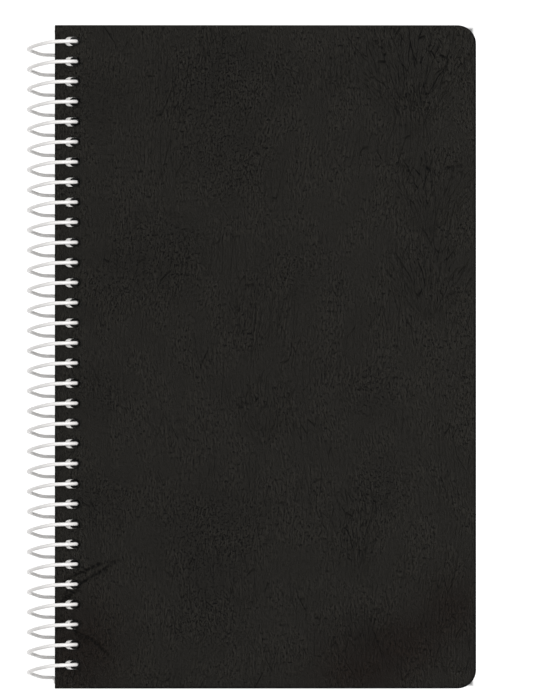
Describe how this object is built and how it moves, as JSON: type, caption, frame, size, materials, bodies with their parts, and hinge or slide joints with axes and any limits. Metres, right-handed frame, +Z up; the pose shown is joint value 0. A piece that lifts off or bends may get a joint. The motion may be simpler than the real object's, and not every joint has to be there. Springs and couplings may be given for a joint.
{
  "type": "weekly planner",
  "caption": "Pocket-width weekly planner lying flat: black leather-grained covers and a block of pages, punched along the spine and bound by a white wire coil.",
  "frame": {"origin": "the middle of the planner's footprint, on the surface that it lies on", "axes": "+X from the spine towards the fore-edge, +Y from the tail to the head, +Z up out of the front cover"},
  "size_m": [0.1419, 0.2094, 0.0165],
  "materials": {
    "cover_leatherette": "satin",
    "pages": "matte",
    "coil_coating": "gloss"
  },
  "bodies": {
    "book": {"page_block": "pages", "binding_coil": "coil_coating"},
    "front": {"front_cover": "cover_leatherette"},
    "back": {"back_cover": "cover_leatherette"}
  },
  "joints": [
    {"name": "front_cover_hinge", "type": "hinge", "parent": "book", "child": "front", "pos_m": [-0.06196, 0, 0.01151], "axis": [0, -1, 0], "range_deg": [0, 145]},
    {"name": "back_cover_hinge", "type": "hinge", "parent": "book", "child": "back", "pos_m": [-0.06207, 0, 0.00651], "axis": [0, 1, 0], "range_deg": [0, 25]}
  ]
}
